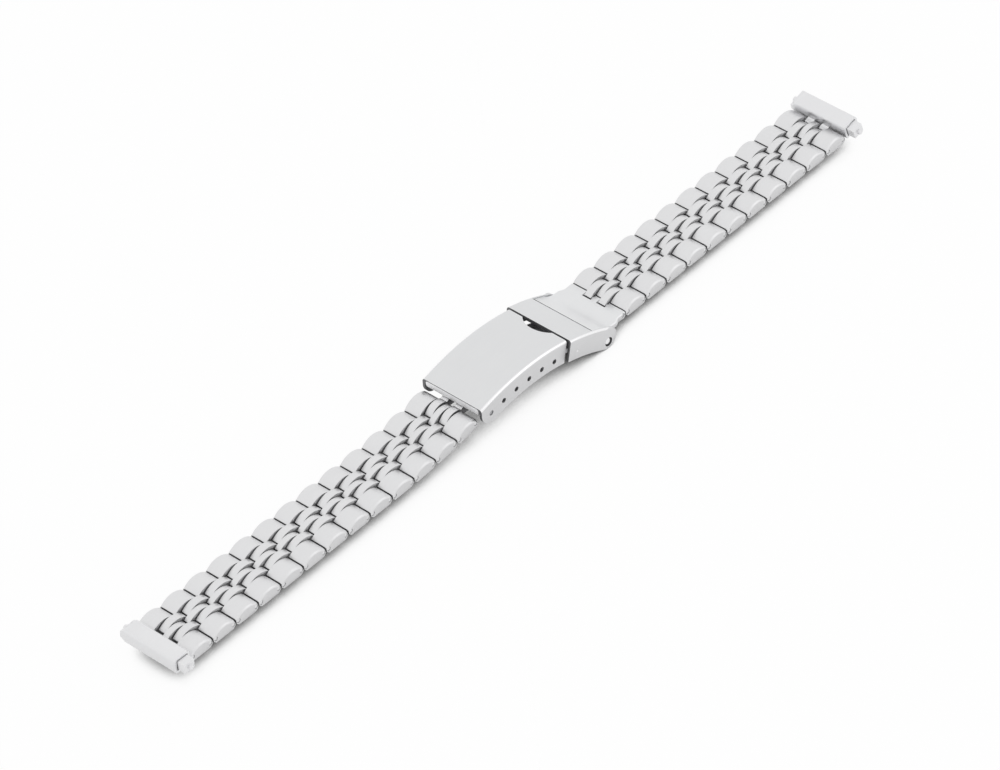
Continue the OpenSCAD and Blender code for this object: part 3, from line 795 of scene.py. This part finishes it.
# The rivet's lighter colour is a painted highlight on its polished ends.
rivet.data.materials.append(polished_painted_highlight_steel)
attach(rivet, "inner_blade")
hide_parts("flap_rivet")


# The end plate is a thick steel plate between the ears. It follows the clasp's arch,
# then runs level to the twelve side, narrows there, and is notched for the first
# beads. Two knuckles below it turn on the rivet.

PLATE_THICKNESS = 0.8
PLATE_DROP = 0.15
PLATE_GAP = 0.3
PLATE_HALF_WIDTH = 5.54
PLATE_NARROW = 1.6
PLATE_FLARE = 2.2
PLATE_BEND = 5.0
PLATE_SIDE_ROUND = 0.3
PLATE_EDGE_ROUND = 0.06
EAR_OVERLAP = 0.5
NOSE_ROOM = 0.25
PLATE_SHADED, PLATE_SIDE_SHADED = 1, 2
KNUCKLE_RADIUS = 1.0
KNUCKLE_INNER = 3.12

first_pin = clasp_side["twelve_01_side_beads"] / MM
plate_end = first_pin.x + PIN_INSET - ROW_GAP / 2
under = first_pin.z - PIN_HEIGHT
level = under + LINK_END_HEIGHT
top_circle = ARCH_RADIUS - PLATE_DROP
plate_first = flap_last + math.degrees(PLATE_GAP / ARCH_RADIUS)
bend_turn = math.acos((level + PLATE_BEND - arch_z) / (top_circle + PLATE_BEND))

# The curved part is a flat section that is spun along the arch, and back again to the
# level about a point above it. Its end face is then drawn out.
plate_middle = top_circle - PLATE_THICKNESS / 2
plate = arch_section(
    "end_plate_body", plate_middle, plate_first, PLATE_THICKNESS, PLATE_HALF_WIDTH
)
bpy.ops.mesh.spin(
    steps=20,
    angle=bend_turn - math.radians(plate_first),
    center=Vector((arch_x, 0, arch_z)) * MM,
    axis=(0, -1, 0),
)
bend_x, bend_z = on_arch(top_circle + PLATE_BEND, math.degrees(bend_turn))
bend_middle = Vector((bend_x, 0, bend_z)) * MM
bpy.ops.mesh.spin(steps=8, angle=bend_turn, center=bend_middle, axis=(0, 1, 0))
level_run = Vector((plate_end + 1 - bend_x, 0, 0)) * MM
bpy.ops.mesh.extrude_region_move(TRANSFORM_OT_translate={"value": level_run})
select_where(plate, "EDGE", lambda x, y, z: x > plate_end and z < level - 0.1)
bpy.ops.transform.translate(value=Vector((0, 0, PLATE_THICKNESS - LINK_END_HEIGHT)) * MM)
cut_away(plate, (plate_end, 0, under), (1, 0, 0))
cut_away(plate, (plate_end, 0, under + END_CUT), (1, 0, -1))

# It narrows to the links' width over its last part.
for narrow_x in (plate_end - PLATE_NARROW, plate_end - PLATE_NARROW - PLATE_FLARE):
    bpy.ops.mesh.select_all(action="SELECT")
    bpy.ops.mesh.bisect(plane_co=(narrow_x * MM, 0, 0), plane_no=(1, 0, 0))
select_where(plate, "FACE", lambda x, y, z: x > plate_end - PLATE_NARROW - 0.01)
bpy.ops.transform.resize(value=(1, SIDE / PLATE_HALF_WIDTH, 1), center_override=(0, 0, 0))
bpy.ops.mesh.select_all(action="SELECT")
bpy.ops.mesh.remove_doubles(threshold=1e-7)
bpy.ops.mesh.normals_make_consistent(inside=False)


def along_upper_side(x, y, z):
    """Whether a corner of the plate lies on one of its two long upper edges."""
    on_first = abs(math.hypot(x - arch_x, z - arch_z) - top_circle) < 0.02
    on_bend = abs(math.hypot(x - bend_x, z - bend_z) - PLATE_BEND) < 0.02
    on_level = x > bend_x and abs(z - level) < 0.01
    return (on_first or on_bend or on_level) and abs(y) > SIDE - 0.01


mesh = bmesh.from_edit_mesh(plate.data)
bpy.ops.mesh.select_all(action="DESELECT")
for edge in mesh.edges:
    one, two = (v.co / MM for v in edge.verts)
    beyond_ears = min(one.x, two.x) > rivet_place.x - EAR_OVERLAP
    upper = along_upper_side(*one) and along_upper_side(*two)
    edge.select_set(beyond_ears and upper and abs(one.y - two.y) < 1)
bmesh.update_edit_mesh(plate.data)
round_selected(PLATE_SIDE_ROUND, 4)
leave_edit()

rivet_out = rivet_place - Vector((arch_x, 0, arch_z))
rivet_turn = math.atan2(rivet_out.x, rivet_out.z)
for side in (-1, 1):
    y0, y1 = sorted((side * KNUCKLE_INNER, side * SIDE))
    knuckle = rod_along_y(KNUCKLE_RADIUS, y0, y1, rivet_place.x, rivet_place.z, 48)
    web_half = KNUCKLE_RADIUS - 0.02
    web_height = plate_middle - rivet_out.length
    web = block(-web_half, web_half, y0 + 0.02, y1 - 0.02, 0, web_height)
    web.data.transform(
        Matrix.Translation(rivet_place * MM) @ Matrix.Rotation(rivet_turn, 4, "Y")
    )
    combine(plate, web, "UNION")
    combine(plate, knuckle, "UNION")
    notch_y = sorted((side * (BEAD_INNER - LANE_GAP), side * (BEAD_OUTER + LANE_GAP)))
    notch_x = first_pin.x - (PIN_INSET - ROW_GAP / 2) - NOSE_ROOM
    notch = block(notch_x, notch_x + 4, *notch_y, under - 3, under + 3)
    combine(plate, notch, "DIFFERENCE")
soften(plate, PLATE_EDGE_ROUND, 2, 45.0)
for side in (-1, 1):
    bore_y = sorted((side * (SIDE - BORE_DEPTH), side * (SIDE + BORE_DEPTH)))
    combine(plate, rod_along_y(BORE_RADIUS, *bore_y, first_pin.x, first_pin.z), "DIFFERENCE")
smooth(plate)
pin_end = SIDE - PIN_RECESS
pin = rod_along_y(PIN_RADIUS, -pin_end, pin_end, first_pin.x, first_pin.z, 24)
soften(pin, PIN_EDGE_ROUND, 2, 60.0)
plate = join([plate, pin], "end_plate_body")
smooth(plate)
plate.data.materials.clear()
# The plate's steel is painted a little lighter than the cover's: painted light on its slopes and
# bend, which would otherwise show darker.
plate_painted_light_steel = brushed_steel(
    "plate_painted_light_steel", (0.87, 0.875, 0.88), (0.81, 0.815, 0.825), 0.34, 0.12
)
for steel in (plate_painted_light_steel, painted_shade_steel, side_painted_shade_steel):
    plate.data.materials.append(steel)
# Painted shade: the plate's first end face, at its gap to the flap, near black, and its side faces
# a darker copy.
start_x, start_z = on_arch(plate_middle, plate_first)
for face in plate.data.polygons:
    from_start = math.hypot(face.center.x / MM - start_x, face.center.z / MM - start_z)
    if from_start < 0.1 and face.normal.x < -0.7:
        face.material_index = PLATE_SHADED
    elif abs(face.normal.y) > 0.9:
        face.material_index = PLATE_SIDE_SHADED
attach(plate, "end_plate")
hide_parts("end_plate")


# The two blades inside are blanked from strip, curved like the cover, and joined by
# pins through their rolled knuckles. They and the clasp's spring bar keep the shapes
# of their solids, in a plainer steel that is painted darker as shade inside the clasp.

inner_steel = brushed_steel("inner_steel", (0.5, 0.5, 0.51), (0.38, 0.38, 0.4), 0.34, 0.2)
for node in ("outer_blade", "inner_blade", "blade_pins", "clasp_spring_bar"):
    blade = frame["nodes"][node]
    blade.data.materials.clear()
    blade.data.materials.append(inner_steel)


# The telescopic ends are folded from thinner sheet: a tube with one closed end and
# two tongues on the last pin, and inside it a sliding insert on a spring.

END_LENGTH = 2.95
END_GAP = 0.12
END_TOP = 2.75
END_BOTTOM = 0.3
END_SHEET = 0.35
END_ROUND = 0.5
END_HALF = 5.2
INSERT_OUT = 1.35
INSERT_LENGTH = 6.35
INSERT_WIDTH = 1.9
INSERT_HEIGHT = 1.55
INSERT_EDGE_ROUND = 0.08
LEAST_INNER_ROUND = 0.08
LUG_RADIUS = 0.4
LUG_LENGTH = 0.5
LUG_ROOT = 0.1
LUG_EDGE_ROUND = 0.1
CORNER_NOTCH = 0.6
SLANT_LENGTH = 1.2
SLANT_HEIGHT = 0.8
FALL_LENGTH = 1.2
FALL_DEPTH = 0.5
CLOSED_ROUND = 0.5
LAST_TILT = 15

end_steel = brushed_steel("end_steel", (0.88, 0.88, 0.89), (0.82, 0.82, 0.83), 0.36, 0.12)
insert_u = (END_GAP + END_LENGTH) / 2
insert_w = (END_BOTTOM + END_TOP) / 2


def rounded_block(inset, y0, y1):
    """The tube's outline less an inset: wide upper bends, and narrow lower ones."""
    u0, u1, w0, w1 = END_GAP + inset, END_LENGTH - inset, END_BOTTOM + inset, END_TOP - inset
    made = block(u0, u1, y0, y1, w0, w1)
    edit(made)
    for corner_w, round_by in ((w1, END_ROUND), (w0, END_SHEET)):
        mesh = bmesh.from_edit_mesh(made.data)
        bpy.ops.mesh.select_all(action="DESELECT")
        for edge in mesh.edges:
            one, two = (v.co / MM for v in edge.verts)
            long_edge = abs(one.y - two.y) > 1
            at_corner = min(abs(one.x - u0), abs(one.x - u1)) < 0.01
            edge.select_set(long_edge and at_corner and abs(one.z - corner_w) < 0.01)
        bmesh.update_edit_mesh(made.data)
        round_selected(max(round_by - inset, LEAST_INNER_ROUND), 8)
    leave_edit()
    return made


def end_tube():
    """The tube: its closed end slants, its top falls there, and two tongues stand out."""
    tube = rounded_block(0, -END_HALF, END_HALF)
    edit(tube)
    slant = Vector((0, SLANT_HEIGHT, -SLANT_LENGTH)).normalized()
    cut_away(tube, (0, END_HALF, END_BOTTOM + SLANT_HEIGHT), slant)
    fall = Vector((0, FALL_DEPTH, FALL_LENGTH)).normalized()
    cut_away(tube, (0, END_HALF, END_TOP - FALL_DEPTH), fall)
    select_where(
        tube,
        "EDGE",
        lambda u, y, w: y > END_HALF - 0.01 and w > END_BOTTOM + SLANT_HEIGHT + 0.1,
    )
    round_selected(CLOSED_ROUND, 4)
    leave_edit()
    hollow_end = END_HALF - END_SHEET - SLANT_LENGTH
    combine(tube, rounded_block(END_SHEET, -END_HALF - 1, hollow_end), "DIFFERENCE")
    corner_y = (END_HALF - CORNER_NOTCH, END_HALF + 1)
    corner = block(-1, CORNER_NOTCH, *corner_y, END_TOP - CORNER_NOTCH, END_TOP + 1)
    combine(tube, corner, "DIFFERENCE")
    for side in (-1, 1):
        y0, y1 = sorted((side * BEAD_INNER, side * BEAD_OUTER))
        tongue_w = (PIN_HEIGHT - nose, PIN_HEIGHT + nose)
        tongue = block(-PIN_INSET, END_GAP + END_SHEET / 2, y0, y1, *tongue_w)
        combine(tube, tongue, "UNION")
        tongue_end = rod_along_y(nose, y0 + 0.002, y1 - 0.002, -PIN_INSET, PIN_HEIGHT, 32)
        combine(tube, tongue_end, "UNION")
    soften(tube, SHEET_EDGE_ROUND, 2, 50.0)
    tip_y = (END_HALF - LUG_ROOT, END_HALF + LUG_LENGTH)
    tip = rod_along_y(LUG_RADIUS, *tip_y, insert_u, insert_w, 32)
    soften(tip, LUG_EDGE_ROUND, 2, 60.0)
    tube = join([tube, tip], "tube_master")
    smooth(tube)
    return tube


def end_insert():
    """The insert: a bar that slides in the tube, with a round tip that stands out."""
    body_end = -END_HALF - INSERT_OUT
    body_u = (insert_u - INSERT_WIDTH / 2, insert_u + INSERT_WIDTH / 2)
    body_w = (insert_w - INSERT_HEIGHT / 2, insert_w + INSERT_HEIGHT / 2)
    insert = block(*body_u, body_end, body_end + INSERT_LENGTH, *body_w)
    soften(insert, INSERT_EDGE_ROUND, 2, 45.0)
    tip_y = (body_end - LUG_LENGTH, body_end + LUG_ROOT)
    tip = rod_along_y(LUG_RADIUS, *tip_y, insert_u, insert_w, 32)
    soften(tip, LUG_EDGE_ROUND, 2, 60.0)
    insert = join([insert, tip], "insert_master")
    smooth(insert)
    return insert


for side, end_row, towards_end, tilt in (
    ("six", "six_01_links", -1, 0),
    ("twelve", "twelve_11_links", 1, LAST_TILT),
):
    place = (
        Matrix.Translation(outer_side[end_row])
        @ Matrix.Rotation(-math.radians(tilt), 4, "Y")
        @ Matrix.Diagonal((towards_end, 1, 1, 1))
        @ Matrix.Translation(Vector((PIN_INSET, 0, -PIN_HEIGHT)) * MM)
    )
    for made, kind in ((end_tube(), "tube"), (end_insert(), "insert")):
        made.name = f"{side}_end_{kind}_sheet"
        made.data.transform(place)
        if towards_end < 0:
            made.data.flip_normals()
        made.data.materials.clear()
        made.data.materials.append(end_steel)
        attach(made, f"{side}_end_{kind}")
        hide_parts(f"{side}_end_{kind}")


# The floor is a plain white sheet. Close under the bracelet, where hardly any light
# gets in, shade is painted into its colour and its glow: each spot is shaded by how
# much of the room above it the bracelet covers, so the painted shade goes along when
# the bracelet is moved.

FLOOR_SIZE = 3000
FLOOR_DROP = 0.05
FLOOR_WHITE = (0.9, 0.9, 0.9)
FLOOR_SHADED = (0.06, 0.06, 0.06)
SHADE_REACH = 8.0
SHADE_OPEN = 0.55
SHADE_CLOSED = 0.2
SEEN_FROM_CAMERA = 0.95
SEEN_IN_STEEL = 0.5

floor_finish = Finish("floor_white")
open_above = floor_finish.node(
    "ShaderNodeAmbientOcclusion", {"samples": 12}, output="AO", Distance=SHADE_REACH * MM
)
shade = (SHADE_OPEN - open_above) * (1 / (SHADE_OPEN - SHADE_CLOSED))
shade = shade.math("MAXIMUM", 0.0).math("MINIMUM", 1.0)
camera_ray = floor_finish.node("ShaderNodeLightPath", output="Is Camera Ray")
glossy_ray = floor_finish.node("ShaderNodeLightPath", output="Is Glossy Ray")
through_ray = floor_finish.node("ShaderNodeLightPath", output="Is Transmission Ray")
seen = camera_ray * SEEN_FROM_CAMERA + (glossy_ray + through_ray) * SEEN_IN_STEEL
floor_finish.set(
    Base_Color=floor_finish.blend(shade, FLOOR_WHITE, FLOOR_SHADED),
    Roughness=0.9,
    Specular_IOR_Level=0.1,
)
floor_sheet = SteelSocket(floor_finish.tree, floor_finish.shader.outputs[0])
floor_glow = floor_finish.node("ShaderNodeEmission", Color=(1.0, 1.0, 1.0, 1.0), Strength=1.0)
floor_look = floor_finish.node(
    "ShaderNodeMixShader", places={0: seen * (1.0 - shade), 1: floor_sheet, 2: floor_glow}
)
wire(floor_finish.tree, floor_finish.tree.nodes["Material Output"].inputs[0], floor_look)
bpy.ops.mesh.primitive_plane_add(size=FLOOR_SIZE * MM, location=(0, 0, -FLOOR_DROP * MM))
floor = bpy.context.object
floor.name = "floor"
floor.data.materials.append(floor_finish.material)


# The light is that of a white room, the same from all sides. One large soft lamp
# stands in front of the bracelet's twelve side and lights it a little more brightly.

ROOM_LEVEL = 0.92
LAMP_SIZE = 400
LAMP_ENERGY = 0.18
LAMP_PLACE = (320, -390, 300)

world = bpy.data.worlds.new("studio")
bpy.context.scene.world = world
world.use_nodes = True
room = world.node_tree.nodes["Background"]
room.inputs[0].default_value = (1.0, 1.0, 1.0, 1.0)
room.inputs[1].default_value = ROOM_LEVEL

lamp_data = bpy.data.lights.new("lamp_front", "AREA")
lamp_data.shape = "SQUARE"
lamp_data.size = LAMP_SIZE * MM
lamp_data.energy = LAMP_ENERGY
lamp = bpy.data.objects.new("lamp_front", lamp_data)
lamp.location = [place * MM for place in LAMP_PLACE]
lamp.rotation_euler = (-lamp.location).to_track_quat("-Z", "Y").to_euler()
bpy.context.scene.collection.objects.link(lamp)

bpy.context.scene.view_settings.view_transform = "Standard"


# The camera stands where the photograph was taken: far off, with a long lens, and
# turned a little about its own line of sight.

CAMERA_AZIMUTH = -45.49
CAMERA_ELEVATION = 41.96
CAMERA_ROLL = -4.21
CAMERA_DISTANCE = 859.6
CAMERA_LENS = 218.0
CAMERA_FILM_WIDTH = 36.0
CAMERA_NEAR = 10
CAMERA_FAR = 20000
LOOK_OFFSET = (-5.58, -5.99)
LOOK_AT = (7.3363, 0.0, 3.1384)

azimuth = math.radians(CAMERA_AZIMUTH)
elevation = math.radians(CAMERA_ELEVATION)
roll = math.radians(CAMERA_ROLL)
out = math.cos(elevation)
back = Vector((math.sin(azimuth) * out, -math.cos(azimuth) * out, math.sin(elevation)))
level_right = Vector((math.cos(azimuth), math.sin(azimuth), 0))
level_up = back.cross(level_right)
right = math.cos(roll) * level_right + math.sin(roll) * level_up
up = math.cos(roll) * level_up - math.sin(roll) * level_right
camera_data = bpy.data.cameras.new("camera")
camera_data.lens = CAMERA_LENS
camera_data.sensor_width = CAMERA_FILM_WIDTH
camera_data.clip_start = CAMERA_NEAR * MM
camera_data.clip_end = CAMERA_FAR * MM
camera = bpy.data.objects.new("camera", camera_data)
eye = Vector(LOOK_AT) + back * CAMERA_DISTANCE + right * LOOK_OFFSET[0] + up * LOOK_OFFSET[1]
turned = Matrix((right, up, back)).transposed().to_4x4()
camera.matrix_world = Matrix.Translation(eye * MM) @ turned
bpy.context.scene.collection.objects.link(camera)
bpy.context.scene.camera = camera
